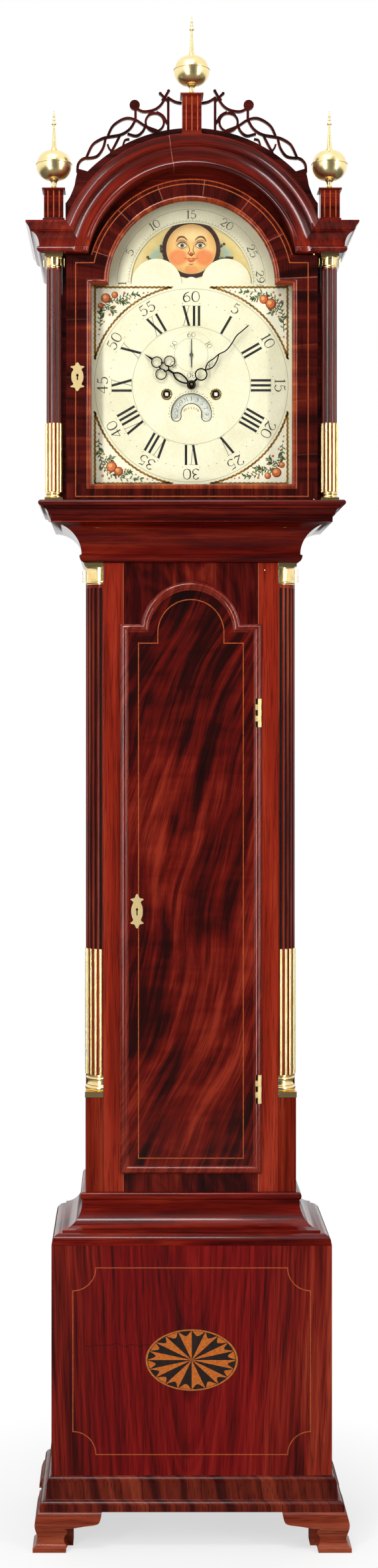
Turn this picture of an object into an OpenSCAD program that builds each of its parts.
// Longcase clock with an arched hood, pierced fretwork, a moon dial and an eight day movement.
// X runs across the front, the front looks along -Y and Z is up from the floor.

/* [Case] */
// Width of the trunk over its corner columns
trunk_w = 333; // [320:1:370]
// Depth of the trunk from its face to the wall
trunk_d = 170; // [166:1:210]
// Height of the trunk between its mouldings
trunk_h = 995; // [960:5:1080]
// Thickness of the mahogany boards
board_t = 16; // [14:0.5:18]
// Thickness of the back boards
back_t = 12; // [9:0.5:14]
// Height of the bracket feet
feet_h = 59; // [50:1:75]
// Height of the moulding above the feet
base_mould_h = 51; // [46:1:60]
// Height of the plain base between its mouldings
base_h = 358; // [320:1:420]
// Height of the moulding on top of the base
base_top_h = 73; // [66:1:85]
// How far the base stands out beyond the trunk
base_over = 52; // [46:1:60]
// How far the base moulding stands out beyond the base
foot_over = 18; // [15:0.5:22]
// How far the toes of the feet stand out beyond the base moulding
toe_over = 10; // [8:0.5:12]
// Radius of the quarter columns on the trunk
quarter_r = 28; // [24:0.5:29]
// Height of the plain blocks under the quarter columns
block_h = 149; // [120:1:180]

/* [Trunk door] */
// Half width of the trunk door over its moulding
door_half = 111.7; // [106:0.5:116]
// Height of the rail under the trunk door
door_rail = 28.4; // [24:0.2:36]
// Height of the rail over the arch of the trunk door
door_head = 29.4; // [26:0.2:40]
// Radius of the arched head of the trunk door
door_arch_r = 79.7; // [72:0.1:84]
// Width of the moulding round the trunk door
door_bead = 13; // [10:0.5:15]

/* [Hood] */
// Height of the cove under the hood
throat_h = 62; // [55:1:70]
// How far the cove stands out beyond the trunk
throat_over = 53; // [50:0.5:56]
// Height of the moulding at the foot of the hood
hood_foot_h = 31; // [28:0.5:36]
// How far the hood moulding stands out beyond the trunk
hood_foot_over = 72; // [68:0.5:76]
// How far the hood columns stand out beyond the trunk
hood_over = 60; // [58:0.5:62]
// Height of the hood columns
column_h = 383; // [378:1:400]
// Radius of the hood columns
column_r = 11.85; // [11:0.05:12.5]
// Number of flutes round a hood column
flutes = 12; // [10:2:14]
// Height of the cornice
cornice_h = 46; // [42:0.5:52]
// How far the cornice stands out beyond the trunk
cornice_over = 90.5; // [86:0.5:96]
// Inner radius of the arched cornice
arch_r = 163.4; // [161:0.2:166]
// Width of the plinths under the finials
plinth_w = 30; // [26:0.5:34]
// Thickness of the fretwork
fret_t = 6; // [4:0.5:8]
// How far the hood slides forward off the case
hood_travel = 260; // [200:5:300]

/* [Hood door] */
// Half width of the hood door
glass_door_half = 195; // [190:0.5:196]
// Thickness of the hood door
glass_door_t = 22.5; // [20:0.1:22.5]
// Half width of the sight opening
sight_half = 155.6; // [150:0.2:158]
// Radius of the arched head of the sight opening
sight_r = 128.8; // [124:0.2:130]
// Width of the rounded moulding round the glass
glass_bead = 10; // [8:0.5:12]
// Thickness of the glass
glass_t = 2; // [1.6:0.1:3]

/* [Dial] */
// Width of the painted dial
dial_w = 330; // [324:1:334]
// Height of the hand arbor above the hood moulding
dial_rise = 184; // [182:0.5:188]
// Thickness of the dial sheet
dial_t = 2; // [1.5:0.1:3]
// Height of the moon arbor above the hand arbor
moon_rise = 160; // [158:0.5:162]
// Radius of the moon opening
moon_open_r = 95.2; // [92:0.2:97]
// Radius of a painted moon
moon_r = 38.5; // [36:0.1:40]
// Distance of the winding holes to each side
wind_x = 38.6; // [38:0.1:40]
// Depth of the winding holes below the hands
wind_drop = 14; // [13:0.1:15]
// Height of the seconds arbor above the hands
seconds_rise = 47.7; // [46:0.1:49]
// Depth of the calendar arbor below the hands
calendar_drop = 44.6; // [43:0.1:46]

/* [Movement] */
// Width of the movement plates
plate_w = 136; // [130:1:146]
// Height of the movement plates
plate_h = 168; // [162:1:174]
// Thickness of the movement plates
plate_t = 3; // [2.5:0.1:4]
// Clear space between the movement plates
plate_gap = 58; // [54:0.5:62]
// Radius of the gut barrels
barrel_r = 25.5; // [24:0.1:26]
// Distance from the suspension to the middle of the bob
pendulum_l = 994; // [970:1:1010]
// Radius of the pendulum bob
bob_r = 52; // [46:0.5:56]
// Radius of the weights
weight_r = 25; // [22:0.5:25]
// Height of the weights
weight_h = 200; // [180:2:230]
// Side clearance of sliding and turning pieces
running_gap = 0.05; // [0.03:0.01:0.08]
// Clearance between pieces that only lie near each other
free_gap = 0.3; // [0.25:0.05:0.5]

/* [Hidden] */
$fn = 48;

// Colours
mahogany = "#6b2414";
dark_wood = "#4a1a10";
pine = "#b48a56";
brass = "#d4a53a";
steel = "#8d9196";
ivory = "#efeccb";

// Planes across the depth
half_w = trunk_w / 2;
back_y = (trunk_d + cornice_over) / 2;
front_y = back_y - trunk_d;

// Levels, from the floor up
z_base = feet_h;
z_panel = z_base + base_mould_h;
z_shelf = z_panel + base_h;
z_trunk = z_shelf + base_top_h;
z_throat = z_trunk + trunk_h;
z_hood = z_throat + throat_h;
z_column = z_hood + hood_foot_h;
z_cornice = z_column + column_h;
z_top = z_cornice + cornice_h;

// The trunk door fills the trunk between its two rails
door_shoulder_drop = 12.5;
door_side_h = trunk_h - door_rail - door_head - door_arch_r + door_shoulder_drop;

// Places in the hood
arch_drop = 30;
arch_z = z_cornice - arch_drop;
arch_top_r = arch_r + cornice_h;
door_arch_z = arch_z - 16;
column_x = half_w + hood_over - column_r;
column_y = front_y - hood_over + column_r;
hood_face_y = column_y + column_r + free_gap;
hood_board_t = 12;
hood_half = column_x;
hood_inner = hood_half - hood_board_t;
mask_t = 8;
door_face_y = front_y - hood_over;
door_edge_gap = 2;

// Places of the dial and the movement
dial_y = hood_face_y + mask_t + 1.5;
dial_z = z_column + dial_rise;
moon_z = dial_z + moon_rise;
dial_foot_l = 36;
plate_y = dial_y + dial_t + dial_foot_l;
inner_y = plate_y + plate_t;
rear_y = inner_y + plate_gap;
wind_z = dial_z - wind_drop;
plate_z = wind_z - 61;
crutch_l = 96;
seat_t = 18;
pivot_r = 1.2;
arbor_r = 2;
great_y = inner_y + 4;
wheel_t = 2.5;
barrel_y0 = great_y + wheel_t + free_gap;
barrel_y1 = rear_y - 20.75;
strike_y = barrel_y1 + 1.75;
centre_y = rear_y - 13;
third_y = rear_y - 6.5;
escape_y = inner_y + 34;
pendulum_y = rear_y + plate_t + 22;
escape_z = dial_z + seconds_rise;
escape_r = 20;
anchor_rise = 27;
anchor_z = escape_z + anchor_rise;

// Counts of teeth
great_teeth = 96;
centre_teeth = 60;
third_teeth = 56;
escape_teeth = 30;

// Wheel sizes that follow from the arbor places
great_reach = norm([wind_x, wind_drop]);
great_m = 2 * great_reach / (great_teeth + 8);
centre_m = 0.8;
third_m = 0.75;
centre_reach = centre_m * (centre_teeth + 8) / 2;
third_reach = third_m * (third_teeth + 7) / 2;
third_dz = (seconds_rise ^ 2 + centre_reach ^ 2 - third_reach ^ 2) / (2 * seconds_rise);
third_dx = sqrt(centre_reach ^ 2 - third_dz ^ 2);
minute_reach = 25.2;
minute_turn = 250;
minute_x = minute_reach * cos(minute_turn);
minute_z = dial_z + minute_reach * sin(minute_turn);

// Hands, shown at seven minutes past ten
hour_angle = 146.6;
minute_angle = 46.1;
hub_r = 7;
hand_t = 1.2;
seconds_hand_t = 0.8;

// Places of the weights
pulley_r = 18;
line_r = 0.9;
weight_y = barrel_y1 - 4;
line_x = wind_x + barrel_r + line_r + 0.1;
weight_x = line_x + pulley_r;
pulley_z = z_throat - 110;
hook_l = 42;

// Points on a quarter of an ellipse from a to b, leaving a upright or level
function quarter(a, b, upright, n = 8) = [
    for (i = [0:n]) let (t = 90 * i / n)
        upright ? [b.x + (a.x - b.x) * cos(t), a.y + (b.y - a.y) * sin(t)]
                : [a.x + (b.x - a.x) * sin(t), b.y + (a.y - b.y) * cos(t)]
];

// Points on a half round that swells by w between two heights
function bead(p, z0, z1, w, n = 8) = [
    for (i = [0:n]) let (t = -90 + 180 * i / n)
        [p + w * cos(t), (z0 + z1) / 2 + (z1 - z0) / 2 * sin(t)]
];

// A point on a smooth curve through four points
function curve_point(a, b, c, d, t) = 0.5 * (2 * b + (c - a) * t
    + (2 * a - 5 * b + 4 * c - d) * t ^ 2 + (3 * b - a - 3 * c + d) * t ^ 3);

// A smooth curve through all points of a list
function smooth(p, n = 5) = let (e = len(p) - 1) concat(
    [for (i = [0:e - 1]) for (k = [0:n - 1])
        curve_point(p[max(i - 1, 0)], p[i], p[i + 1], p[min(i + 2, e)], k / n)],
    [p[e]]
);

function reversed(p) = [for (i = [len(p) - 1:-1:0]) p[i]];
function mirrored(p) = [for (q = p) [-q.x, q.y]];
function shifted(p, d) = [for (q = p) q + d];

// Outlines of the mouldings as projection from the trunk against height
function base_moulding_outline() =
    let (p = base_over, q = base_over + foot_over, h = base_mould_h)
    concat([[q, 0]], quarter([q, 7], [q - 8.5, 16.5], true), [[q - 9, 17.5], [p + 7.2, h - 13.5]],
        quarter([p + 7.2, h - 13], [p + 1, h - 1], true), [[p + 1, h]]);

function base_top_outline() =
    let (p = base_over, h = base_top_h)
    concat([[p, 0]], quarter([p - 1, 5], [p - 15, 17], true), [[p - 16.4, 17]],
        quarter([p - 16.4, 20], [5, h - 15], false), [[5, h - 12.5]],
        bead(3.5, h - 12.5, h, 4.7), [[0, h]]);

function throat_outline() =
    let (p = throat_over, h = throat_h)
    concat(quarter([0, 0], [9.5, 10.4], false), [[9.5, 11.8], [6.3, 13.3]],
        quarter([6.3, 13.6], [p, h - 1.7], true, 12), [[p, h]]);

function hood_foot_outline() =
    let (q = throat_over, p = hood_foot_over, h = hood_foot_h)
    concat([[q, 0], [q, 8], [q + 3.6, 9]], quarter([q + 3.6, 9.2], [p - 7.4, h - 12.4], true),
        [[p - 7.2, h - 9.8], [p - 4.5, h - 9]], bead(p - 4.5, h - 9, h, 4.5));

function cornice_outline() =
    let (p = cornice_over, q = hood_over + 6, h = cornice_h)
    concat([[q, 0]], bead(q + 3.3, 0.9, 10.3, 4.7), [[q + 4.3, 11]],
        quarter([q + 4.3, 11.3], [p - 8, h - 15.6], true), [[p - 8, h - 14], [p - 6, h - 13.4]],
        smooth([[p - 5.6, h - 12], [p - 4.4, h - 9], [p - 2, h - 5.6], [p, h - 3]], 3), [[p, h]]);

// Outline of a bracket foot: pad, hollow neck and swelling knee
function foot_outline() =
    let (p = base_over + foot_over, q = base_over + foot_over + toe_over, h = feet_h)
    concat([[q, 0], [q, 6.5]],
        smooth([[q - 0.4, 6.8], [q - 6.4, 0.19 * h], [q - 8, 0.33 * h], [q - 4, 0.56 * h],
            [q - 3, 0.73 * h], [q - 6.5, 0.93 * h], [p, h]], 4));

// A moulding that runs round the front and both sides with mitred corners
module wrap(outline, z, inner_half, inner_front) {
    pts = shifted(outline, [0, z]);
    right = [for (q = pts) [half_w + q.x, q.y]];
    side = [for (q = pts) [front_y - q.x, q.y]];
    top = pts[len(pts) - 1].y;
    span = 2 * (half_w + cornice_over + 10);
    difference() {
        intersection() {
            translate([0, back_y, 0]) rotate([90, 0, 0])
                linear_extrude(trunk_d + span) polygon(concat(right, mirrored(reversed(right))));
            translate([-span / 2, 0, 0]) rotate([90, 0, 90])
                linear_extrude(span) polygon(concat(side, [[back_y, top], [back_y, pts[0].y]]));
        }
        translate([-inner_half, inner_front, z - 1])
            cube([2 * inner_half, back_y - inner_front + 1, top - z + 2]);
    }
}

// Stands a flat shape upright, its front face at y
module stand(y, t) {
    translate([0, y + t, 0]) rotate([90, 0, 0]) linear_extrude(t) children();
}

// Lays a turned shape along Y with its axis at x and z
module turn_y(x, y, z) {
    translate([x, y, z]) rotate([-90, 0, 0]) children();
}

// A flat outline with square shoulders and an arched head
module arched(half, z0, z1, r, zc) {
    translate([-half, z0]) square([2 * half, z1 - z0]);
    intersection() {
        translate([0, zc]) circle(r, $fn = 120);
        translate([-r, z0]) square([2 * r, zc + r - z0]);
    }
}

// Both hands of a pair of pieces
module pair() {
    children();
    mirror([1, 0, 0]) children();
}

// A straight run of a round moulding, cut to its mitres by a flat outline
module bead_run(y, w, outline) {
    intersection() {
        children();
        stand(y - w - 1, 2 * w + 2) polygon(outline);
    }
}

// A half round moulding along an arched outline with shoulders
module arched_bead(half, z0, z1, r, zc, w, y) {
    // A fine joint line stays open where the arch meets the shoulder
    joint = 0.25;
    rise = z1 - zc;
    side = sqrt(r ^ 2 - rise ^ 2);
    start = asin((rise - w) / r);
    bead_run(y, w, [[-half - w, z0 - w], [half + w, z0 - w], [half - w, z0 + w], [-half + w, z0 + w]])
        translate([-half - w, y, z0]) rotate([0, 90, 0]) cylinder(r = w, h = 2 * half + 2 * w);
    for (s = [0, 1]) mirror([s, 0, 0]) {
        bead_run(y, w, [[half - w, z0 + w], [half + w, z0 - w], [half + w, z1 + w], [half - w, z1 - w]])
            translate([half, y, z0 - w]) cylinder(r = w, h = z1 - z0 + 2 * w);
        bead_run(y, w, [
            [side + joint - w, z1 - w], [half - w, z1 - w],
            [half + w, z1 + w], [side + joint + w, z1 + w]
        ])
            translate([side - w, y, z1]) rotate([0, 90, 0]) cylinder(r = w, h = half - side + 2 * w);
    }
    reach = r + 2 * w;
    bead_run(y, w, [
        [side - w, z1 - w], [side + w, z1 + w], [reach, z1 + w], [reach, zc + reach],
        [-reach, zc + reach], [-reach, z1 + w], [-side - w, z1 + w], [-side + w, z1 - w]
    ])
        translate([0, y, zc]) rotate([90, 0, 0]) rotate([0, 0, start])
            rotate_extrude(angle = 180 - 2 * start, $fn = 120) translate([r, 0]) circle(w);
}

// A strap of even width that follows a curve
module strap(points, w) {
    p = points;
    e = len(p) - 1;
    way = [for (i = [0:e]) let (d = p[min(i + 1, e)] - p[max(i - 1, 0)]) [-d.y, d.x] / norm(d)];
    polygon(concat([for (i = [0:e]) p[i] + way[i] * w / 2],
        [for (i = [e:-1:0]) p[i] - way[i] * w / 2]));
}

// Teeth of a wheel as a flat outline, with a tooth or a gap on the +X side
module toothed(n, m, tip, root, thick, gap_first = false) {
    rp = n * m / 2;
    pitch = 360 / n;
    first = gap_first ? 0.5 : 0;
    polygon([for (i = [0:n - 1]) for (k = [0:3])
        let (a = pitch * (i + first + [-0.62, -0.3, 0.3, 0.62][k] * thick),
            r = rp + (k == 0 || k == 3 ? -root : tip) * m)
        [r * cos(a), r * sin(a)]]);
}

// A crossed out wheel, flat, with its teeth
module crossed(n, m, hub, rim, spokes, gap_first = false) {
    inner = n * m / 2 - 1.25 * m - rim;
    difference() {
        toothed(n, m, 0.7, 1.2, 0.42, gap_first);
        difference() {
            circle(inner);
            circle(hub);
            for (a = [0:360 / spokes:359]) rotate(a) translate([0, -rim / 2]) square([inner + 1, rim]);
        }
    }
}

// A wheel standing across Y, turned so that its first tooth points at an angle
module wheel_at(x, y, z, t, turn) {
    translate([x, y + t, z]) rotate([90, 0, 0]) rotate(turn) linear_extrude(t) children();
}

// An arbor with thinner pivots that reach into both plates
module arbor(x, z, y0 = inner_y, y1 = rear_y) {
    turn_y(x, y0 + free_gap, z) cylinder(r = arbor_r, h = y1 - y0 - 2 * free_gap);
    turn_y(x, y0 - plate_t, z) cylinder(r = pivot_r, h = y1 - y0 + 2 * plate_t);
}

// Case

module foot_wing(len_top) {
    x = half_w + base_over + foot_over + toe_over;
    inner = x - len_top;
    toe = x - 51.5;
    polygon(concat([[x + 1, -1], [toe, -1], [toe, 6.7]],
        smooth([[toe - 2.7, 8.7], [toe + 1.6, 11.3], [toe + 3.4, 20], [toe - 1.9, 0.5 * feet_h],
            [toe + 2.6, 0.6 * feet_h]], 4),
        smooth([[toe - 9, 0.62 * feet_h - 0.6], [toe - 28, 0.665 * feet_h], [inner + 9, 0.71 * feet_h],
            [inner + 3, 0.8 * feet_h], [inner, feet_h + 1]], 4), [[x + 1, feet_h + 1]]));
}

module bracket_feet() {
    wall = 20;
    x = half_w + base_over + foot_over - wall;
    y = front_y - base_over - foot_over + wall;
    wing = 107;
    depth = back_y - front_y + base_over + foot_over + toe_over;
    color(mahogany) {
        difference() {
            intersection() {
                wrap(foot_outline(), 0, x, y);
                union() {
                    pair() translate([0, y, 0]) rotate([90, 0, 0])
                        linear_extrude(wall + toe_over + 5) foot_wing(wing);
                    for (s = [-1, 1]) translate([s > 0 ? x : -x - wall - toe_over - 5, 0, 0])
                        rotate([90, 0, 90]) linear_extrude(wall + toe_over + 5) {
                            shift = half_w + base_over + foot_over + toe_over;
                            translate([shift + y - wall - toe_over, 0]) mirror([1, 0]) foot_wing(wing);
                            translate([back_y - shift, 0]) foot_wing(0.8 * wing);
                        }
                }
            }
            translate([-300, back_y, -1]) cube([600, 50, feet_h + 2]);
        }
        block = 32;
        for (s = [-1, 1]) {
            translate([s > 0 ? x - block : -x, y, 0]) cube([block, block, feet_h]);
            translate([s > 0 ? x - block : -x, back_y - block - board_t, 0])
                cube([block, block + board_t, feet_h]);
        }
    }
}

module base_moulding() {
    color(dark_wood) wrap(base_moulding_outline(), z_base, half_w + base_over, front_y - base_over);
}

module base_panels() {
    x = half_w + base_over;
    y = front_y - base_over;
    color(mahogany) {
        translate([-x, y, z_base]) cube([2 * x, board_t, z_shelf - z_base]);
        for (s = [-1, 1]) translate([s > 0 ? x - board_t : -x, y + board_t, z_base])
            cube([board_t, back_y - y - board_t, z_shelf - z_base]);
    }
}

module base_boards() {
    x = half_w + base_over - board_t;
    y = front_y - base_over + board_t;
    color(pine) {
        translate([-x, y, z_base]) cube([2 * x, back_y - back_t - y, board_t]);
        translate([-x, back_y - back_t, z_base]) cube([2 * x, back_t, z_shelf - z_base]);
    }
}

module base_top_moulding() {
    color(mahogany) wrap(base_top_outline(), z_shelf, half_w, front_y);
}

module trunk_opening(gap) {
    z0 = z_trunk + door_rail;
    lap = 8 - gap;
    arched(door_half - lap, z0 + lap, z0 + door_side_h - lap, door_arch_r - lap,
        z0 + door_side_h - door_shoulder_drop);
}

module trunk_frame() {
    x = half_w - quarter_r - free_gap;
    color(mahogany) {
        difference() {
            translate([-x, front_y, z_shelf]) cube([2 * x, board_t, z_throat - z_shelf]);
            translate([0, front_y + board_t + 1, 0]) rotate([90, 0, 0])
                linear_extrude(board_t + 2) trunk_opening(0);
            hinge_pockets();
        }
    }
}

module trunk_sides() {
    y = front_y + quarter_r + free_gap;
    cheek_z = plate_z - seat_t;
    color(mahogany) for (s = [-1, 1]) {
        translate([s > 0 ? half_w - board_t : -half_w, y, z_shelf])
            cube([board_t, back_y - back_t - y, z_throat + throat_h - z_shelf]);
        translate([s > 0 ? half_w - board_t : -half_w, y, z_throat + throat_h])
            cube([board_t, back_y - back_t - y, cheek_z - z_hood]);
        // Runner that the hood slides on
        translate([s > 0 ? half_w : -half_w - runner_w, y, runner_z])
            cube([runner_w, back_y - back_t - y, runner_h]);
    }
}
runner_w = 9;
runner_h = 7;
runner_z = z_hood + 10;

module quarter_clip(z0, z1) {
    translate([half_w - quarter_r, front_y - 20, z0]) cube([quarter_r + 20, quarter_r + 20, z1 - z0]);
}

column_base_h = 34.5;
capital_h = 33.5;
stop_h = 200;
shaft_z0 = z_trunk + block_h + column_base_h;
shaft_z1 = z_throat - capital_h;
quarter_flute_r = 2.4;

module quarter_flutes(r, z0, z1) {
    for (a = [9:18:81]) translate([half_w - quarter_r + (quarter_r - 1) * cos(a),
        front_y + quarter_r - (quarter_r - 1) * sin(a), z0]) cylinder(r = r, h = z1 - z0, $fn = 20);
}

module quarter_columns() {
    color(mahogany) pair() {
        difference() {
            intersection() {
                translate([half_w - quarter_r, front_y + quarter_r, shaft_z0])
                    cylinder(r = quarter_r - 1, h = shaft_z1 - shaft_z0, $fn = 96);
                quarter_clip(shaft_z0, shaft_z1);
            }
            quarter_flutes(quarter_flute_r, shaft_z0 - 1, shaft_z1 - 6);
        }
        translate([half_w - quarter_r, front_y, z_shelf])
            cube([quarter_r, quarter_r, z_trunk + block_h - z_shelf]);
    }
}

module turned_quarter(outline) {
    intersection() {
        translate([half_w - quarter_r, front_y + quarter_r, 0])
            rotate_extrude($fn = 96) polygon(concat([[0, outline[0].y]], outline,
                [[0, outline[len(outline) - 1].y]]));
        quarter_clip(outline[0].y - 1, outline[len(outline) - 1].y + 1);
    }
}

module trunk_brasses() {
    r = quarter_r;
    z = z_trunk + block_h;
    plinth_h = 9;
    abacus_h = 6;
    color(brass) pair() {
        // Base: square plinth under two rounds and a hollow
        translate([half_w - r, front_y - 1, z]) cube([r + 1, r + 1, plinth_h]);
        turned_quarter(concat([[r, z + plinth_h]], bead(r - 1.5, z + plinth_h, z + 17, 2.5, 6),
            quarter([r - 1.5, z + 18], [r - 3, z + 25], false, 4), bead(r - 2, z + 25, z + 31, 2, 6),
            [[r - 0.8, z + 32], [r - 0.8, shaft_z0]]));
        // Capital: neck round, bell and square abacus
        turned_quarter(concat([[r - 0.8, shaft_z1]], bead(r - 1, shaft_z1 + 1, shaft_z1 + 5, 1.8, 6),
            [[r - 1.2, shaft_z1 + 6]],
            quarter([r - 1.2, shaft_z1 + 9], [r + 0.6, z_throat - abacus_h], true, 6)));
        translate([half_w - r, front_y - 1, z_throat - abacus_h]) cube([r + 1, r + 1, abacus_h]);
        // Rods that stop the flutes
        difference() {
            quarter_flutes(quarter_flute_r - running_gap, shaft_z0, shaft_z0 + stop_h);
            translate([0, front_y - 20, shaft_z0 - 1]) cube([half_w - r, r + 20, stop_h + 2]);
        }
    }
}

module throat_moulding() {
    color(mahogany) difference() {
        wrap(throat_outline(), z_throat, half_w, front_y + board_t);
        translate([-half_w - 1, front_y + board_t, z_throat - 1])
            cube([2 * half_w + 2, trunk_d, throat_h + 2]);
    }
}

module back_board() {
    ear_z = z_column + 4;
    top = moon_z + 20;
    color(pine) {
        translate([-half_w, back_y - back_t, z_shelf]) cube([2 * half_w, back_t, top - z_shelf]);
        for (s = [-1, 1]) translate([s > 0 ? half_w : -hood_inner + 2, back_y - back_t, ear_z])
            cube([hood_inner - half_w - 2, back_t, top - ear_z]);
    }
}

module seat_board() {
    x = half_w - board_t;
    y0 = inner_y - 26;
    y1 = back_y - back_t - 12;
    color(pine) difference() {
        translate([-half_w, y0, plate_z - seat_t]) cube([2 * half_w, y1 - y0, seat_t]);
        for (s = [-1, 1]) {
            // Slot for the line from the barrel, and the hole for its fixed end
            translate([s > 0 ? line_x - 6 : -line_x - 6, barrel_y0 + 2, plate_z - seat_t - 1])
                cube([12, barrel_y1 - barrel_y0 - 4, seat_t + 2]);
            translate([s * (weight_x + pulley_r), weight_y, plate_z - seat_t - 1])
                cylinder(r = line_r + 0.5, h = seat_t + 2);
        }
        // Slot that the pendulum rod and its crutch swing in
        translate([-45, pendulum_y - 6, plate_z - seat_t - 1]) cube([90, 12, seat_t + 2]);
    }
}

// Trunk door, hinges and lock

hinge_x = door_half - 3.2;
hinge_y = front_y - 4.5;
knuckle_r = 3;
hinge_h = 45;
pin_r = 1.5;
hinge_low = z_trunk + 140;
hinge_high = z_trunk + 735;

leaf_t = 1.6;
leaf_x = hinge_x - 7;
pocket_x = hinge_x + 3.2;

module hinge_pockets() {
    for (z = [hinge_low, hinge_high]) translate([leaf_x - 1, front_y - 1, z - 0.1])
        cube([pocket_x - leaf_x + 1, board_t - 4, hinge_h + 0.2]);
}

// Every other knuckle of a hinge, each with its arm to a leaf at x
module hinge_half(z, odd, x) {
    n = 5;
    step = hinge_h / n;
    gap = 0.1;
    for (i = [0:n - 1]) if ((i % 2 == 1) == odd) {
        translate([hinge_x, hinge_y, z + i * step + gap]) cylinder(r = knuckle_r, h = step - 2 * gap);
        translate([min(x, hinge_x), hinge_y - leaf_t / 2, z + i * step + gap])
            cube([abs(hinge_x - x) + (x > hinge_x ? leaf_t : 0), leaf_t, step - 2 * gap]);
        translate([x, hinge_y - leaf_t / 2, z + i * step + gap]) cube([leaf_t, 6, step - 2 * gap]);
    }
    translate([x, hinge_y + knuckle_r + 0.4, z]) cube([leaf_t, 10, hinge_h]);
}

module case_hinge_leaves() {
    color(brass) for (z = [hinge_low, hinge_high]) {
        hinge_half(z, false, pocket_x - leaf_t - running_gap);
        translate([hinge_x, hinge_y, z]) cylinder(r = pin_r, h = hinge_h);
    }
}

module door_hinge_leaves() {
    color(brass) for (z = [hinge_low, hinge_high]) difference() {
        hinge_half(z, true, leaf_x + running_gap);
        translate([hinge_x, hinge_y, z - 1]) cylinder(r = pin_r + running_gap, h = hinge_h + 2);
    }
}

// Play of the door in its frame, enough for its far corner to swing out
door_play = 1.2;
door_back = front_y + board_t - 2;

module trunk_door() {
    z0 = z_trunk + door_rail;
    z1 = z0 + door_side_h;
    zc = z1 - door_shoulder_drop;
    half_bead = door_bead / 2;
    face = 4.5;
    color(mahogany) difference() {
        union() {
            stand(front_y - face, face - free_gap)
                arched(door_half - half_bead, z0 + half_bead, z1 - half_bead, door_arch_r - half_bead, zc);
            stand(front_y - face, door_back - front_y + face) trunk_opening(-door_play);
            intersection() {
                arched_bead(door_half - half_bead, z0 + half_bead, z1 - half_bead,
                    door_arch_r - half_bead, zc, half_bead, front_y - 0.5);
                translate([-door_half - 1, front_y - 20, z0 - 1])
                    cube([2 * door_half + 2, 20 - free_gap, z1 - z0 + door_arch_r]);
            }
        }
        // Room for the hinges and for the edge that swings past the frame
        for (z = [hinge_low, hinge_high]) translate([leaf_x, front_y - 12, z - 0.2])
            cube([15, 24, hinge_h + 0.4]);
        translate([hinge_x - 1, front_y - 1.8, z0 - 1]) cube([12, 4, door_side_h + 2]);
        translate([escutcheon_x, front_y - 10, lock_z]) rotate([-90, 0, 0]) cylinder(r = 3.5, h = 30);
    }
}

// A thin rim lock on the back of the door, whose bolt shoots behind the stile
lock_z = z_trunk + 444;
lock_w = 42;
lock_h = 50;
lock_x = -door_half + 11.5;
lock_wall = 1.4;
escutcheon_x = -85;
bolt_w = 24;
bolt_t = 3;
bolt_y = front_y + board_t + free_gap;

module trunk_lock() {
    lock_back = bolt_y + bolt_t + free_gap + lock_wall;
    color(brass) difference() {
        translate([lock_x, door_back, lock_z - lock_h / 2])
            cube([lock_w, lock_back - door_back, lock_h]);
        translate([lock_x - 1, bolt_y - free_gap, lock_z - bolt_w / 2 - free_gap])
            cube([lock_w - 6, bolt_t + 2 * free_gap, bolt_w + 2 * free_gap]);
        translate([escutcheon_x, front_y, lock_z]) rotate([-90, 0, 0]) cylinder(r = 2.6, h = board_t + 3);
    }
}

module trunk_bolt() {
    color(steel) difference() {
        translate([lock_x + free_gap, bolt_y, lock_z - bolt_w / 2]) cube([30, bolt_t, bolt_w]);
        translate([escutcheon_x, front_y, lock_z]) rotate([-90, 0, 0]) cylinder(r = 4.5, h = board_t + 5);
    }
}

// A pierced key plate with pointed ends and two pairs of ears, around a keyhole
module key_plate(w, h, t) {
    side = smooth([[0, h / 2], [0.11 * w, 0.46 * h], [0.2 * w, 0.385 * h], [0.46 * w, 0.36 * h],
        [0.5 * w, 0.33 * h], [0.3 * w, 0.26 * h], [0.42 * w, 0.13 * h], [0.45 * w, 0]], 4);
    half = concat(side, [for (i = [len(side) - 2:-1:0]) [side[i].x, -side[i].y]]);
    linear_extrude(t) difference() {
        polygon(concat(half, [for (i = [len(half) - 2:-1:1]) [-half[i].x, half[i].y]]));
        translate([0, 0.05 * h]) circle(0.1 * w);
        translate([-0.05 * w, -0.12 * h]) square([0.1 * w, 0.17 * h]);
    }
}

module trunk_escutcheon() {
    color(brass) translate([escutcheon_x, front_y - 4.5, lock_z]) rotate([90, 0, 0])
        key_plate(20, 55, 1.2);
}

module hood_escutcheon() {
    color(brass) translate([-(glass_door_half + sight_half + 5) / 2, door_face_y, dial_z + 8])
        rotate([90, 0, 0]) key_plate(21, 45, 1.2);
}

// Hood

module hood_base() {
    inner = half_w + free_gap;
    color(mahogany) difference() {
        wrap(hood_foot_outline(), z_hood + free_gap, inner, hood_face_y + hood_board_t);
        for (s = [-1, 1]) translate([s > 0 ? inner - 1 : -inner - runner_w, front_y, runner_z - free_gap])
            cube([runner_w + 1, trunk_d + 1, runner_h + 2 * free_gap]);
        door_pins();
    }
}

door_pin_x = glass_door_half - 5;
door_pin_y = door_face_y + 4;
door_pin_r = 2;

pin_in_door = 11;
pin_in_frame = 12;

// The pins that the hood door turns on, at its foot and its head
module door_pins() {
    for (z = [z_column + free_gap - pin_in_frame, z_cornice - door_edge_gap - pin_in_door])
        translate([door_pin_x, door_pin_y, z])
            cylinder(r = door_pin_r, h = pin_in_frame + door_edge_gap - free_gap + pin_in_door);
}

module hood_sides() {
    color(mahogany) for (s = [-1, 1])
        translate([s > 0 ? hood_inner : -hood_half, hood_face_y, z_column + free_gap])
            cube([hood_board_t, back_y - hood_face_y, z_cornice - z_column - free_gap]);
}

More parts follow.
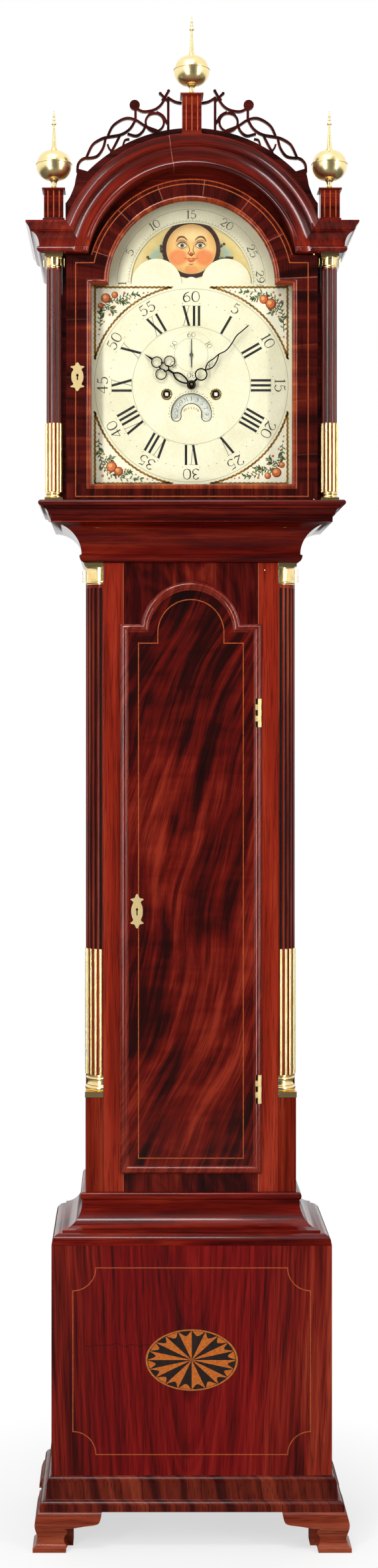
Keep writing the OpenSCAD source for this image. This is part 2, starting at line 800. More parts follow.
module hood_head(inset) {
    square_half = hood_half - inset;
    translate([-square_half, z_column]) square([2 * square_half, z_top - 6 - z_column - inset]);
    translate([0, arch_z]) circle(arch_top_r - 5 - inset, $fn = 120);
}

module hood_front() {
    z0 = z_column + 22;
    color(dark_wood) stand(hood_face_y, mask_t) difference() {
        intersection() {
            hood_head(hood_board_t + free_gap);
            translate([-300, z_column + free_gap]) square([600, 800]);
        }
        arched(sight_half + 2.4, z0, door_arch_z + 2, sight_r + 4, door_arch_z + 4);
    }
}

module hood_cornice() {
    grown = concat(cornice_outline(), [[cornice_over, cornice_h + 200]]);
    arch_pts = concat([[arch_r, hood_face_y]],
        [for (q = grown) [arch_r + q.y, front_y - q.x]], [[arch_r + cornice_h + 200, hood_face_y]]);
    color(mahogany) intersection() {
        difference() {
            wrap(grown, z_cornice, hood_half, hood_face_y);
            translate([-300, hood_face_y, z_top]) cube([600, 400, 300]);
            door_pins();
        }
        union() {
            turn_cornice(arch_pts);
            translate([-400, hood_face_y, z_cornice]) cube([800, back_y - hood_face_y, cornice_h]);
        }
        translate([0, back_y, 0]) rotate([90, 0, 0]) linear_extrude(trunk_d + 2 * cornice_over) union() {
            translate([-400, z_cornice]) square([800, cornice_h]);
            translate([0, arch_z]) circle(arch_top_r, $fn = 120);
        }
    }
}

module turn_cornice(pts) {
    translate([0, 0, arch_z]) rotate([90, 0, 0])
        rotate_extrude($fn = 120) polygon([for (q = pts) [q.x, -q.y]]);
}

module hood_roof() {
    roof_y = hood_face_y + mask_t + free_gap;
    color(pine) stand(roof_y, back_y - roof_y) difference() {
        intersection() {
            hood_head(0);
            translate([-300, z_cornice]) square([600, 400]);
        }
        hood_head(6);
    }
}

hood_shaft_z0 = z_column + free_gap + 13;
hood_shaft_z1 = z_cornice - 21;
hood_stop_h = 107;
flute_r = 1.9;

module hood_flutes(r, z0, z1) {
    for (i = [0:flutes - 1]) translate([column_x + column_r * cos(360 * i / flutes),
        column_y + column_r * sin(360 * i / flutes), z0]) cylinder(r = r, h = z1 - z0, $fn = 20);
}

module hood_columns() {
    color(mahogany) pair() difference() {
        translate([column_x, column_y, hood_shaft_z0])
            cylinder(r = column_r, h = hood_shaft_z1 - hood_shaft_z0, $fn = 64);
        hood_flutes(flute_r, hood_shaft_z0 - 1, hood_shaft_z1 - 3);
    }
}

module turned_column(outline) {
    translate([column_x, column_y, 0]) rotate_extrude($fn = 64)
        polygon(concat([[0, outline[0].y]], outline, [[0, outline[len(outline) - 1].y]]));
}

module hood_brasses() {
    z = z_column + free_gap;
    half = 14;
    r = column_r;
    color(brass) door_pins();
    color(brass) pair() {
        translate([column_x - half, column_y - half, z]) cube([2 * half, 2 * half - 2.2, 4]);
        difference() {
        union() {
        turned_column(concat(bead(r + 0.2, z + 3.9, z + 7.5, 1.5, 6), [[r - 0.4, z + 8.5]],
            bead(r - 0.2, z + 9, z + 12, 1, 6), [[r, hood_shaft_z0]]));
        turned_column(concat([[r, hood_shaft_z1]],
            bead(r - 0.2, hood_shaft_z1 + 0.5, hood_shaft_z1 + 3, 1, 6), [[r - 0.8, hood_shaft_z1 + 4]],
            quarter([r - 0.8, hood_shaft_z1 + 7], [r + 1.6, z_cornice - 3.5], true, 6)));
        hood_flutes(flute_r - running_gap, hood_shaft_z0, hood_shaft_z0 + hood_stop_h);
        }
        translate([column_x - 30, hood_face_y - free_gap / 2, z]) cube([60, 20, column_h]);
        }
        translate([column_x - half, column_y - half, z_cornice - 4]) cube([2 * half, 2 * half - 2.2, 4]);
    }
}

plinth_y = column_y;
side_plinth_h = 56;
centre_plinth_h = 70;

plinth_foot = 2;
plinth_foot_h = 9;
plinth_cap = 3;

// A square block under a finial, grown by some amount on each side
module plinth_block(x, z, h, grow) {
    w = plinth_w + 2 * grow;
    translate([x - w / 2, plinth_y - w / 2, z]) cube([w, w, h]);
}

module plinth(x, z, h) {
    plinth_block(x, z, h - plinth_cap, 0);
    plinth_block(x, z, plinth_foot_h, plinth_foot);
    plinth_block(x, z + h - plinth_cap, plinth_cap, plinth_cap);
}

module plinths() {
    color(mahogany) {
        for (s = [-1, 1]) plinth(s * column_x, z_top, side_plinth_h);
        difference() {
            plinth(0, arch_z + arch_top_r - 3, centre_plinth_h + 3);
            translate([0, plinth_y + plinth_w, arch_z]) rotate([90, 0, 0])
                cylinder(r = arch_top_r, h = 2 * plinth_w, $fn = 120);
        }
    }
}

// A finial with a lipped ball on a stem and a thin spire above it
module finial(x, z) {
    stem = 16;
    ball = 45;
    spire = 62;
    r = 28.3;
    neck = 8;
    cup = r - 2.4;
    low = z + stem;
    lip = low + ball / 2 + 2;
    high = low + ball;
    ring = high + 42.6;
    outline = concat(
        [[0, z], [8.5, z], [8.5, z + 2], [5.5, z + 3.5]],
        smooth([[4.2, z + 5.5], [3.9, z + 9], [5, z + 12.5], [neck, low]], 3),
        quarter([neck + 0.2, low], [r - 0.8, lip - 1.2], false),
        [[r, lip - 0.8], [r, lip + 0.6], [cup + 0.3, lip + 1]],
        quarter([cup, lip + 1.2], [5.5, high], true),
        bead(3, high + 0.5, high + 4, 2, 6),
        [[3.8, high + 4.6], [1.6, ring - 3.6]],
        bead(1.6, ring - 2, ring + 2, 2.4, 6),
        bead(1.2, ring + 4.6, ring + 8.4, 1.2, 6),
        bead(1.1, ring + 10.2, ring + 13.6, 1.1, 6),
        [[1, ring + 14.4], [0.8, high + spire], [0, high + spire]]
    );
    translate([x, plinth_y, 0]) rotate_extrude($fn = 64) polygon(outline);
}

module finials() {
    color(brass) {
        for (s = [-1, 1]) finial(s * column_x, z_top + side_plinth_h);
        finial(0, arch_z + arch_top_r + centre_plinth_h);
    }
}

// Half of the fretwork, drawn to the left of the centre plinth
module fret_half() {
    bar = 4;
    x0 = -plinth_w / 2;
    apex = arch_z + arch_top_r;
    function at(x, z) = [x, apex + z];
    // Band that stands on the arch, with the tail that runs down to the side plinth
    intersection() {
        difference() {
            translate([0, arch_z]) circle(arch_top_r + 19, $fn = 120);
            translate([0, arch_z]) circle(arch_top_r + 0.05, $fn = 120);
        }
        polygon([[x0, apex - 30], [x0, apex + 40], [-120, apex + 20], [-184, apex - 60], [-178, apex - 85],
            [-150, apex - 80]]);
    }
    difference() {
        polygon(concat([at(-150, -52), at(-178, -44)],
            smooth([at(-178, -48), at(-181, -62), at(-183, -72), at(-190, -89), at(-199, -102)], 3),
            [at(-199, -134), at(-180, -105)]));
        translate([0, arch_z]) circle(arch_top_r + 0.05, $fn = 120);
        translate([-400, 0]) square([800, z_top + 0.05]);
    }
    // Post beside the centre plinth, its link and the crossed tips
    translate([-38.5, apex + 12]) square([bar, 56]);
    strap(smooth([at(-36.5, 66), at(-26, 60), at(x0 - 0.4, 58)]), bar);
    strap([at(-49, 73), at(-42, 66), at(-36, 60)], bar);
    strap([at(-36, 77), at(-41, 68), at(-46, 62)], bar);
    translate(at(-49, 73)) circle(2.4);
    translate(at(-36, 77)) circle(2.4);
    // Disc with its scroll and stem
    translate(at(-88.8, 55)) circle(8);
    strap(smooth([at(-41, 66), at(-49, 54), at(-60, 47), at(-76, 45), at(-88, 51)]), bar);
    strap([at(-87.5, 50), at(-87.5, 32)], bar);
    // Ring
    translate(at(-57.5, 28)) difference() {
        circle(16);
        circle(12.5);
    }
    strap(smooth([at(-60, 45), at(-64, 42), at(-68, 38)]), bar);
    strap(smooth([at(-55, 44), at(-45, 38), at(-38, 26)]), bar);
    // Two pointed loops, one above the other, and the strand that ties them
    strap(smooth([at(-130.5, 7), at(-122, 23), at(-104, 34), at(-88, 32), at(-72, 22), at(-54, 15)]), bar);
    strap(smooth([at(-130.5, 5), at(-110, 9), at(-96, 18), at(-88, 31)]), bar);
    strap(smooth([at(-164, -27), at(-155, -8), at(-143, 1), at(-131, 5), at(-112, 8)]), bar);
    strap(smooth([at(-164, -28), at(-148, -25), at(-138, -12), at(-134, 4)]), bar);
    strap(smooth([at(-100, 10), at(-86, 7), at(-76, 14), at(-72, 24)]), bar);
    strap(smooth([at(-178, -50), at(-177, -38), at(-171, -30), at(-163, -27)]), bar);
    // Short cusps that hook into the openings
    strap(smooth([at(-112, 7), at(-118, -5), at(-126, -20)]), bar);
    strap(smooth([at(-125, -17), at(-129, -12), at(-131, -6)]), 3);
    strap(smooth([at(-107, -9), at(-104, 0), at(-97, 2)]), 3);
}

module fretwork() {
    apex = arch_z + arch_top_r;
    ease = 0.1;
    color(dark_wood) pair() stand(plinth_y - fret_t / 2, fret_t) difference() {
        fret_half();
        translate([-plinth_w / 2 - plinth_foot - ease, apex - 20])
            square([plinth_w + 2 * (plinth_foot + ease), 20 + plinth_foot_h + ease]);
        translate([-column_x - plinth_w / 2 - plinth_cap - ease, z_top - 1])
            square([plinth_w + 2 * (plinth_cap + ease), side_plinth_h + 2]);
    }
}

// Hood door

module door_sight(grow) {
    arched(sight_half + grow, sight_z0 - grow, door_arch_z - 2 + grow, sight_r + grow, door_arch_z);
}
sight_z0 = z_column + 25.6;

module hood_door() {
    z0 = z_column + door_edge_gap;
    z1 = z_cornice - door_edge_gap;
    b = glass_bead / 2;
    rebate = 14;
    color(mahogany) difference() {
        union() {
            stand(door_face_y, glass_door_t) difference() {
                arched(glass_door_half, z0, z1, arch_r - 0.4, door_arch_z);
                door_sight(b);
            }
            arched_bead(sight_half + b, sight_z0 - b, door_arch_z - 2 + b, sight_r + b, door_arch_z, b,
                door_face_y + b - 1);
        }
        translate([0, glass_door_t - rebate, 0]) stand(door_face_y, rebate + 1) door_sight(b + 3);
        for (z = [z0 - 1, z1 - pin_in_door - 1]) translate([door_pin_x, door_pin_y, z])
            cylinder(r = door_pin_r + running_gap, h = pin_in_door + 2);
    }
}

module hood_glass() {
    color("#dfe9e4", 0.35) stand(door_face_y + glass_door_t - 14, glass_t) door_sight(glass_bead / 2 + 2.6);
}

// Dial

module moon_window() {
    hump_x = 54.6;
    hump_r = 39;
    difference() {
        intersection() {
            circle(moon_open_r, $fn = 120);
            translate([-moon_open_r, 0]) square([2 * moon_open_r, moon_open_r]);
        }
        for (s = [-1, 1]) translate([s * hump_x, 0]) circle(hump_r, $fn = 72);
        circle(10.4);
    }
}

module calendar_window() {
    difference() {
        circle(31.2);
        circle(16.6);
        polygon([[0, 0], [-60, -22], [-60, -60], [60, -60], [60, -22]]);
    }
}

module dial() {
    half = dial_w / 2;
    r = 142;
    color(ivory) {
        stand(dial_y, dial_t) difference() {
            arched(half, dial_z - half, moon_z - 4, r, moon_z);
            translate([0, moon_z]) moon_window();
            translate([0, moon_z]) circle(2.5 + running_gap);
            translate([0, dial_z - calendar_drop]) calendar_window();
            translate([0, dial_z - calendar_drop]) circle(2 + running_gap);
            translate([0, dial_z]) circle(6);
            translate([0, escape_z]) circle(2.5);
            for (s = [-1, 1]) translate([s * wind_x, wind_z]) circle(7.8);
        }
        for (s = [-1, 1]) for (dz = [-50, 70])
            turn_y(s * 52, dial_y + dial_t, dial_z + dz) cylinder(r = 3, h = dial_foot_l);
    }
}

module moon_disc() {
    r = moon_open_r + 3;
    teeth = 118;
    color("#27322f") {
        wheel_at(0, dial_y + dial_t + 1, moon_z, 1, 0) difference() {
            toothed(teeth, 2 * r / teeth, 0, 0.8, 0.7);
            circle(3);
        }
        turn_y(0, dial_y, moon_z) cylinder(r = 2.5, h = dial_t + 6);
        turn_y(0, dial_y + dial_t + 0.6, moon_z) cylinder(r = 6, h = 3);
    }
}

module calendar_disc() {
    r = 34;
    z = dial_z - calendar_drop;
    color(ivory) {
        wheel_at(0, dial_y + dial_t + 1, z, 1, 0) difference() {
            toothed(31, 2 * r / 31, 0, 0.3, 0.8);
            circle(2.5);
        }
        turn_y(0, dial_y, z) cylinder(r = 2, h = dial_t + 5);
        turn_y(0, dial_y + dial_t + 0.6, z) cylinder(r = 5, h = 3);
    }
}

// Movement

module plate_holes(front) {
    for (q = [[0, dial_z], [third_dx, dial_z + third_dz], [0, escape_z], [wind_x, wind_z],
        [-wind_x, wind_z], [pin_wheel_x, pin_wheel_z], [hammer_x, hammer_z]])
        translate([q.x, q.y]) circle((front && abs(q.x) == wind_x ? 4 : front && q == [0, dial_z] ? 2
            : front && q == [0, escape_z] ? pivot_r : pivot_r) + running_gap);
}

module plate_outline() {
    translate([-plate_w / 2, plate_z]) square([plate_w, plate_h]);
}

module front_plate() {
    color(brass) {
        stand(plate_y, plate_t) difference() {
            plate_outline();
            plate_holes(true);
            translate([0, anchor_z]) circle(pivot_r + running_gap);
        }
        // Post of the minute wheel
        turn_y(minute_x, plate_y - 12, minute_z) cylinder(r = post_r, h = 12);
    }
}

pillar_r = 5;
module back_plate() {
    cock_l = pendulum_y - rear_y - plate_t + 4;
    color(brass) {
        stand(rear_y, plate_t) difference() {
            plate_outline();
            plate_holes(false);
            translate([0, anchor_z]) circle(5);
        }
        x = plate_w / 2;
        for (s = [-1, 1]) for (q = [[x - 12, plate_z + 9], [x - 8, plate_z + plate_h - 40]]) {
            turn_y(s * q.x, inner_y, q.y) cylinder(r = pillar_r, h = plate_gap);
            turn_y(s * q.x, inner_y + plate_gap / 2 - 2, q.y) cylinder(r = pillar_r + 1.5, h = 4);
        }
        // Back cock that carries the anchor pivot and the pendulum
        difference() {
            union() {
                for (s = [-1, 1]) translate([s > 0 ? 11 : -17, rear_y + plate_t, anchor_z - 5])
                    cube([6, 11, 14]);
                translate([-17, rear_y + plate_t + 10, anchor_z - 5]) cube([34, 4, 14]);
                translate([-4, rear_y + plate_t + 13, anchor_z + 1]) cube([8, cock_l - 13, 8]);
            }
            turn_y(0, rear_y, anchor_z) cylinder(r = pivot_r + running_gap, h = 30);
            translate([-0.5, pendulum_y - 4, anchor_z]) cube([1, 20, 10]);
        }
        // Block and top of the spring that the pendulum hangs from
        translate([-3, pendulum_y - 3.5, anchor_z + 9]) cube([6, 7, 3]);
        translate([-spring_t / 2, pendulum_y - 3.5, anchor_z + 1]) cube([spring_t, 7, 9]);
    }
}
spring_t = 0.5;

// Going train

module pinion(x, y, z, leaves, m, t, turn) {
    wheel_at(x, y, z, t, turn) toothed(leaves, m, 0.5, 1.3, 0.29, true);
}

function angle_to(x0, z0, x1, z1) = atan2(z1 - z0, x1 - x0);

great_turn = angle_to(wind_x, wind_z, 0, dial_z);
centre_turn = angle_to(0, dial_z, third_dx, dial_z + third_dz);
third_turn = angle_to(third_dx, dial_z + third_dz, 0, escape_z);

module time_great_wheel() {
    color(brass) {
        wheel_at(wind_x, great_y, wind_z, wheel_t, great_turn) difference() {
            toothed(great_teeth, great_m, 0.9, 1.2, 0.42);
            circle(4 + running_gap);
        }
    }
}

// A grooved gut barrel on a winding arbor that ends in a square
module winding_barrel(s) {
    x = s * wind_x;
    y0 = barrel_y0;
    y1 = barrel_y1;
    turns = 10;
    step = (y1 - y0 - 6) / turns;
    outline = concat([[0, 0], [barrel_r + 2, 0], [barrel_r + 2, 2.5]],
        [for (i = [0:turns - 1]) each [[barrel_r, 3 + i * step], [barrel_r - 0.8, 3 + (i + 0.5) * step]]],
        [[barrel_r, y1 - y0 - 3], [barrel_r + 2, y1 - y0 - 2.5], [barrel_r + 2, y1 - y0], [0, y1 - y0]]);
    turn_y(x, y0, wind_z) rotate_extrude($fn = 96) polygon(outline);
    turn_y(x, plate_y, wind_z) cylinder(r = 4, h = y0 - plate_y + 1);
    turn_y(x, y1 - 1, wind_z) cylinder(r = arbor_r, h = rear_y - y1 + 1 - free_gap);
    turn_y(x, y1 - 1, wind_z) cylinder(r = pivot_r, h = rear_y + plate_t - y1 + 1);
    turn_y(x, plate_y - 1, wind_z) cylinder(r = 3.6, h = 2);
    translate([x - 2.5, dial_y - 1, wind_z - 2.5]) cube([5, plate_y - dial_y + 1, 5]);
}

module time_barrel() {
    color(brass) winding_barrel(1);
}

module centre_wheel() {
    color(brass) {
        wheel_at(0, centre_y, dial_z, 2, centre_turn)
            crossed(centre_teeth, centre_m, 6, 3, 4);
        pinion(0, great_y - 1, dial_z, 8, great_m, 5, great_turn + 180);
        turn_y(0, inner_y + free_gap, dial_z) cylinder(r = arbor_r, h = plate_gap - 2 * free_gap);
        turn_y(0, rear_y - 1, dial_z) cylinder(r = pivot_r, h = plate_t + 1);
        turn_y(0, hand_y - 3, dial_z) cylinder(r = arbor_r, h = inner_y - hand_y + 4);
        // Cannon wheel that drives the hour work
        wheel_at(0, plate_y - 6, dial_z, 2, minute_turn) toothed(cannon_teeth, minute_m, 0.8, 1.2, 0.42);
    }
}

module third_wheel() {
    x = third_dx;
    z = dial_z + third_dz;
    color(brass) {
        wheel_at(x, third_y, z, 2, third_turn) crossed(third_teeth, third_m, 5, 2.6, 4);
        pinion(x, centre_y - 1, z, 8, centre_m, 4, centre_turn + 180);
        arbor(x, z);
    }
}

module escape_wheel() {
    tip = escape_r;
    root = escape_r - 4.6;
    step = 360 / escape_teeth;
    color(brass) {
        wheel_at(0, escape_y, escape_z, 1.8, escape_phase) difference() {
            polygon([for (i = [0:escape_teeth - 1]) for (k = [0:2])
                let (a = step * (i + [0, 0.1, 0.6][k]), r = k == 0 ? tip : k == 1 ? tip - 0.3 : root)
                [r * cos(a), r * sin(a)]]);
            difference() {
                circle(root - 2.2);
                circle(4.5);
                for (a = [0:90:359]) rotate(a) translate([0, -1.2]) square([root, 2.4]);
            }
        }
        pinion(0, third_y - 1, escape_z, 7, third_m, 4, third_turn + 180);
        arbor(0, escape_z);
        turn_y(0, hand_y + 6.3, escape_z) cylinder(r = 1, h = plate_y - hand_y - 6);
    }
}
escape_phase = 3;

module pallets() {
    y = escape_y - 0.5;
    t = 3;
    reach = 18.5;
    drop = 9.5;
    color(steel) {
        stand(y, t) difference() {
            union() {
                strap(smooth([[-reach, anchor_z - drop - 3], [-reach - 0.5, anchor_z - 4],
                    [-9, anchor_z + 3], [0, anchor_z + 4], [9, anchor_z + 3], [reach + 0.5, anchor_z - 4],
                    [reach, anchor_z - drop - 3]], 6), 4);
                translate([0, anchor_z]) circle(5);
            }
            translate([0, anchor_z]) circle(1.5);
        }
        turn_y(0, inner_y + free_gap, anchor_z) cylinder(r = arbor_r, h = rear_y + 12 - inner_y - free_gap);
        turn_y(0, plate_y, anchor_z) cylinder(r = pivot_r, h = rear_y + plate_t + 13 - plate_y);
        // Crutch that leads the pendulum with a fork
        translate([-1.5, rear_y + plate_t + 4, anchor_z - crutch_l + 1]) cube([3, 2.5, crutch_l - 1]);
        for (s = [-1, 1]) translate([s > 0 ? 2.4 : -4.4, rear_y + plate_t + 5, anchor_z - crutch_l])
            cube([2, pendulum_y - rear_y - plate_t, 6]);
        translate([-4.4, rear_y + plate_t + 4, anchor_z - crutch_l]) cube([8.8, 2.5, 6]);
    }
}

module pendulum() {
    z = anchor_z - pendulum_l;
    rod_r = 2;
    rod_z = z - bob_r - 24;
    spring_l = 32;
    edge = [for (i = [0:8]) let (t = 10 * i) [bob_r * sin(t), 12 - 9 * (1 - cos(t))]];
    color(steel) {
        // Spring that bends just below the cock
        translate([-spring_t / 2, pendulum_y - 3.5, anchor_z - spring_l])
            cube([spring_t, 7, spring_l + 0.5]);
        translate([-2.2, pendulum_y - 4, anchor_z - spring_l - 68]) cube([4.4, 8, 70]);
        translate([0, pendulum_y, rod_z]) cylinder(r = rod_r, h = anchor_z - spring_l - 58 - rod_z);
    }
    color(brass) {
        turn_y(0, pendulum_y, z) rotate_extrude($fn = 96) polygon(concat(
            [for (q = edge) [q.x, -q.y]], [[bob_r, -2], [bob_r, 2]], reversed(edge)));
        translate([0, pendulum_y, z - bob_r - 12]) cylinder(r = 9, h = 5, $fn = 24);
    }
}

// Motion work and hands

hand_y = dial_y - 9;
hour_pipe_r = 5;

module minute_wheel() {
    color(brass) {
        wheel_at(minute_x, plate_y - 6, minute_z, 2, minute_turn + 180) difference() {
            toothed(minute_teeth, minute_m, 0.8, 1.2, 0.42, true);
            circle(post_r + running_gap);
        }
        wheel_at(minute_x, plate_y - 11, minute_z, 5, minute_turn) difference() {
            toothed(hour_leaves, hour_m, 0.6, 1.3, 0.34, true);
            circle(post_r + running_gap);
        }
    }
}
cannon_teeth = 28;
minute_teeth = 42;
hour_leaves = 8;
hour_teeth = 64;
minute_m = 2 * minute_reach / (cannon_teeth + minute_teeth);
hour_m = 2 * minute_reach / (hour_leaves + hour_teeth);
post_r = 1.2;

module hour_wheel() {
    color(brass) {
        wheel_at(0, plate_y - 10, dial_z, 2, minute_turn) difference() {
            toothed(hour_teeth, hour_m, 0.9, 1.2, 0.42);
            circle(2 + running_gap);
        }
        // Pipe that carries the hour hand
        turn_y(0, hand_y + 4.5, dial_z) difference() {
            cylinder(r = hour_pipe_r, h = plate_y - 10 - hand_y - 4);
            translate([0, 0, -1]) cylinder(r = 2 + running_gap, h = 60);
        }
        // Snail that sets the count of the strike
        wheel_at(0, plate_y - 14, dial_z, 2, 0) difference() {
            polygon([for (i = [0:11], k = [0, 0.33, 0.66, 0.999]) let (a = -30 * (i + k), r = 9 + 0.9 * i)
                [r * cos(a), r * sin(a)]]);
            circle(hour_pipe_r - 1);
        }
    }
}

// Straps and rings of a flat hand melted into one sheet
module hand_sheet(t) {
    linear_extrude(t) offset(delta = 0.02) children();
}

module ring(r, w) {
    difference() {
        circle(r, $fn = 40);
        circle(r - w, $fn = 40);
    }
}

module hour_hand() {
    // Pierced three lobed blade that narrows to a point
    color(brass) translate([0, hand_y + 6, dial_z]) rotate([90, 0, 0]) rotate(hour_angle) difference() {
        hand_sheet(hand_t) {
            circle(hub_r);
            for (s = [-1, 1]) {
                strap(smooth([[5, 0], [14, 4.5 * s], [26, 5 * s], [34, 0]]), 2.4);
                strap(smooth([[43, 0], [46, 5 * s], [49, 4 * s]]), 2);
                strap([[55, 5 * s], [59, 3 * s]], 2.4);
                translate([49, s * 12]) ring(9, 1.5);
            }
            strap([[33, 0], [44, 0]], 3);
            translate([65, 0]) ring(9, 1.5);
            polygon([[73, -2], [73, 2], [89, 0]]);
        }
        translate([0, 0, -1]) cylinder(r = hour_pipe_r + running_gap / 2, h = hand_t + 2);
    }
}

module minute_hand() {
    // Serpentine blade that grows from a pierced root
    color(brass) {
        translate([0, hand_y + 2, dial_z]) rotate([90, 0, 0]) rotate(minute_angle) difference() {
            hand_sheet(hand_t) {
                circle(hub_r);
                strap([[6, 0], [13, 0]], 3);
                translate([22, 0]) ring(10, 2);
                strap(smooth([[31, 0], [42, 5], [54, 3], [64, 2], [76, -2], [90, -1], [104, 2], [116, 1],
                    [129, 0]]), 1.8);
                strap(smooth([[31, 0], [42, -5], [54, -3], [64, 2]]), 1.8);
            }
            translate([0, 0, -1]) cylinder(r = arbor_r + running_gap / 2, h = hand_t + 2);
        }
        turn_y(0, hand_y - 4.5, dial_z) difference() {
            cylinder(r1 = 4, r2 = 6.6, h = 5.3);
            translate([0, 0, -1]) cylinder(r = arbor_r + running_gap / 2, h = 8);
        }
    }
}

module seconds_hand() {
    color(brass) translate([0, hand_y + 7.2, escape_z]) rotate([90, 0, 0]) difference() {
        hand_sheet(seconds_hand_t) {
            circle(3);
            polygon([[-1, 0], [1, 0], [0.6, 25], [-0.6, 25]]);
            polygon([[-1, 0], [1, 0], [0.8, -20], [-0.8, -20]]);
        }
        translate([0, 0, -1]) cylinder(r = 1 + running_gap / 2, h = seconds_hand_t + 2);
    }
}

// Striking work

pin_wheel_x = -20;
pin_wheel_z = dial_z + 21;
hammer_x = -46;
hammer_z = dial_z + 62;
strike_teeth = 84;
pin_reach = norm([pin_wheel_x + wind_x, pin_wheel_z - wind_z]);
strike_m = 2 * pin_reach / (strike_teeth + 8);
strike_turn = angle_to(-wind_x, wind_z, pin_wheel_x, pin_wheel_z);

module strike_great_wheel() {
    color(brass) wheel_at(-wind_x, great_y, wind_z, wheel_t, strike_turn) difference() {
        toothed(strike_teeth, strike_m, 0.9, 1.2, 0.42);
        circle(4 + running_gap);
    }
}

module strike_barrel() {
    color(brass) winding_barrel(-1);
}

module pin_wheel() {
    y = strike_y;
    pins = 8;
    color(brass) {
        wheel_at(pin_wheel_x, y, pin_wheel_z, 2, 22) crossed(48, 0.72, 5, 3, 4);
        pinion(pin_wheel_x, great_y - 1, pin_wheel_z, 8, strike_m, 5, strike_turn + 180);
        for (i = [0:pins - 1]) rotate_about(pin_wheel_x, pin_wheel_z, 360 * i / pins + 22)
            turn_y(pin_wheel_x + 14.5, y + 1, pin_wheel_z) cylinder(r = 0.8, h = 4, $fn = 16);
        arbor(pin_wheel_x, pin_wheel_z);
    }
}

module rotate_about(x, z, a) {
    translate([x, 0, z]) rotate([0, a, 0]) translate([-x, 0, -z]) children();
}

bell_z = plate_z + plate_h + 52;
bell_r = 42;
bell_y = inner_y + 15;
module bell() {
    y = bell_y;
    color("#b9b3a3") translate([0, y, bell_z]) rotate_extrude($fn = 96) polygon(concat(
        [for (i = [0:9]) let (t = 10 * i) [bell_r * sin(t), 24 * cos(t) - 4]],
        [[bell_r + 1.5, -6.5], [bell_r - 0.5, -6.5]],
        [for (i = [8:-1:0]) let (t = 10 * i) [(bell_r - 2.4) * sin(t), 24 * cos(t) - 7]]));
    color(steel) {
        // Standard that is screwed to the outside of the back plate
        translate([-4, rear_y + plate_t, plate_z + plate_h - 13])
            cube([8, 3, bell_z + 31 - plate_z - plate_h + 13]);
        translate([-4, y - 4, bell_z + 28]) cube([8, rear_y + plate_t + 3 - y + 4, 3]);
        translate([0, y, bell_z + 15]) cylinder(r = 3, h = 16);
        translate([0, y, bell_z + 30]) cylinder(r = 6, h = 5, $fn = 24);
    }
}

module hammer() {
    y = bell_y - 1.5;
    reach = bell_z - 6 - hammer_z;
    color(steel) {
        arbor(hammer_x, hammer_z);
        stand(y, 3) {
            translate([hammer_x, hammer_z]) circle(4);
            strap(smooth([[hammer_x, hammer_z], [hammer_x - 9, hammer_z + 0.4 * reach],
                [hammer_x - 11, hammer_z + reach]]), 3);
        }
        // Tail that the pins lift
        stand(strike_y + 2.3, 2.4) {
            translate([hammer_x, hammer_z]) circle(4);
            translate([hammer_x, hammer_z]) strap(smooth([[0, 0], [7, -12], [12, -22]]), 3);
        }
        translate([hammer_x - 11, y + 1.5, hammer_z + reach]) rotate([0, 90, 0])
            cylinder(r = 6, h = 11, center = true);
    }
}

// Weights and lines

module weight(s) {
    x = s * weight_x;
    top = pulley_z - hook_l;
    color("#6d6f70") {
        translate([x, weight_y, 0]) rotate_extrude($fn = 64) polygon([[0, top - weight_h],
            [weight_r - 1, top - weight_h], [weight_r, top - weight_h + 1], [weight_r, top - 8],
            [6, top], [0, top]]);
        translate([x, weight_y, top - 1]) cylinder(r = 2, h = hook_l - pulley_r - 2);
        translate([x - 5, weight_y - 6, pulley_z - pulley_r - 6]) cube([10, 12, 3]);
        for (t = [-1, 1]) translate([x - 5, t > 0 ? weight_y + 4.5 : weight_y - 6, pulley_z - pulley_r - 4])
            cube([10, 1.5, pulley_r + 8]);
        turn_y(x, weight_y - 6, pulley_z) cylinder(r = 1.5, h = 12);
    }
}

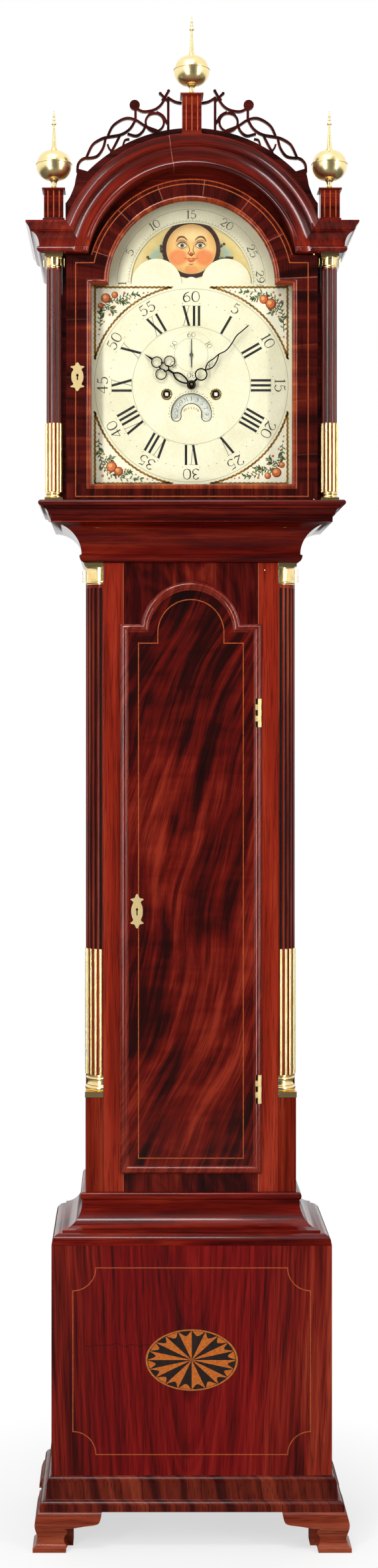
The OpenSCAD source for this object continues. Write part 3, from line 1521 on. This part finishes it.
module pulley(s) {
    t = 7;
    bore_r = 1.5 + running_gap;
    rim_r = pulley_r + 2;
    groove_r = pulley_r - line_r - 0.1;
    color(brass) turn_y(s * weight_x, weight_y - t / 2, pulley_z) rotate_extrude($fn = 72)
        polygon([
            [bore_r, 0], [rim_r, 0], [rim_r, 1], [groove_r, t / 2 - 0.6],
            [groove_r, t / 2 + 0.6], [rim_r, t - 1], [rim_r, t], [bore_r, t]
        ]);
}

module line(s) {
    color("#cdbb8a") for (x = [line_x, line_x + 2 * pulley_r])
        translate([s * x, weight_y, pulley_z])
            cylinder(r = line_r, h = plate_z - seat_t - pulley_z, $fn = 16);
}

module line_ends() {
    color("#cdbb8a") for (s = [-1, 1]) {
        translate([s * line_x, weight_y, plate_z - seat_t])
            cylinder(r = line_r, h = wind_z - plate_z + seat_t, $fn = 16);
        translate([s * (line_x + 2 * pulley_r), weight_y, plate_z - seat_t])
            cylinder(r = line_r, h = seat_t + 2, $fn = 16);
        translate([s * (line_x + 2 * pulley_r), weight_y, plate_z + 3]) sphere(r = 3, $fn = 24);
    }
}

module time_weight() weight(1);
module strike_weight() weight(-1);
module time_pulley() pulley(1);
module strike_pulley() pulley(-1);
module time_line() line(1);
module strike_line() line(-1);

bracket_feet();
base_moulding();
base_panels();
base_boards();
base_top_moulding();
trunk_frame();
trunk_sides();
quarter_columns();
trunk_brasses();
throat_moulding();
back_board();
seat_board();
case_hinge_leaves();
trunk_door();
door_hinge_leaves();
trunk_escutcheon();
trunk_lock();
trunk_bolt();
hood_base();
hood_sides();
hood_front();
hood_cornice();
hood_roof();
hood_columns();
hood_brasses();
plinths();
finials();
fretwork();
hood_door();
hood_glass();
hood_escutcheon();
dial();
moon_disc();
calendar_disc();
front_plate();
back_plate();
bell();
hammer();
time_great_wheel();
time_barrel();
centre_wheel();
third_wheel();
escape_wheel();
pallets();
pendulum();
minute_wheel();
hour_wheel();
minute_hand();
hour_hand();
seconds_hand();
strike_great_wheel();
strike_barrel();
pin_wheel();
time_weight();
strike_weight();
time_pulley();
strike_pulley();
time_line();
strike_line();
line_ends();
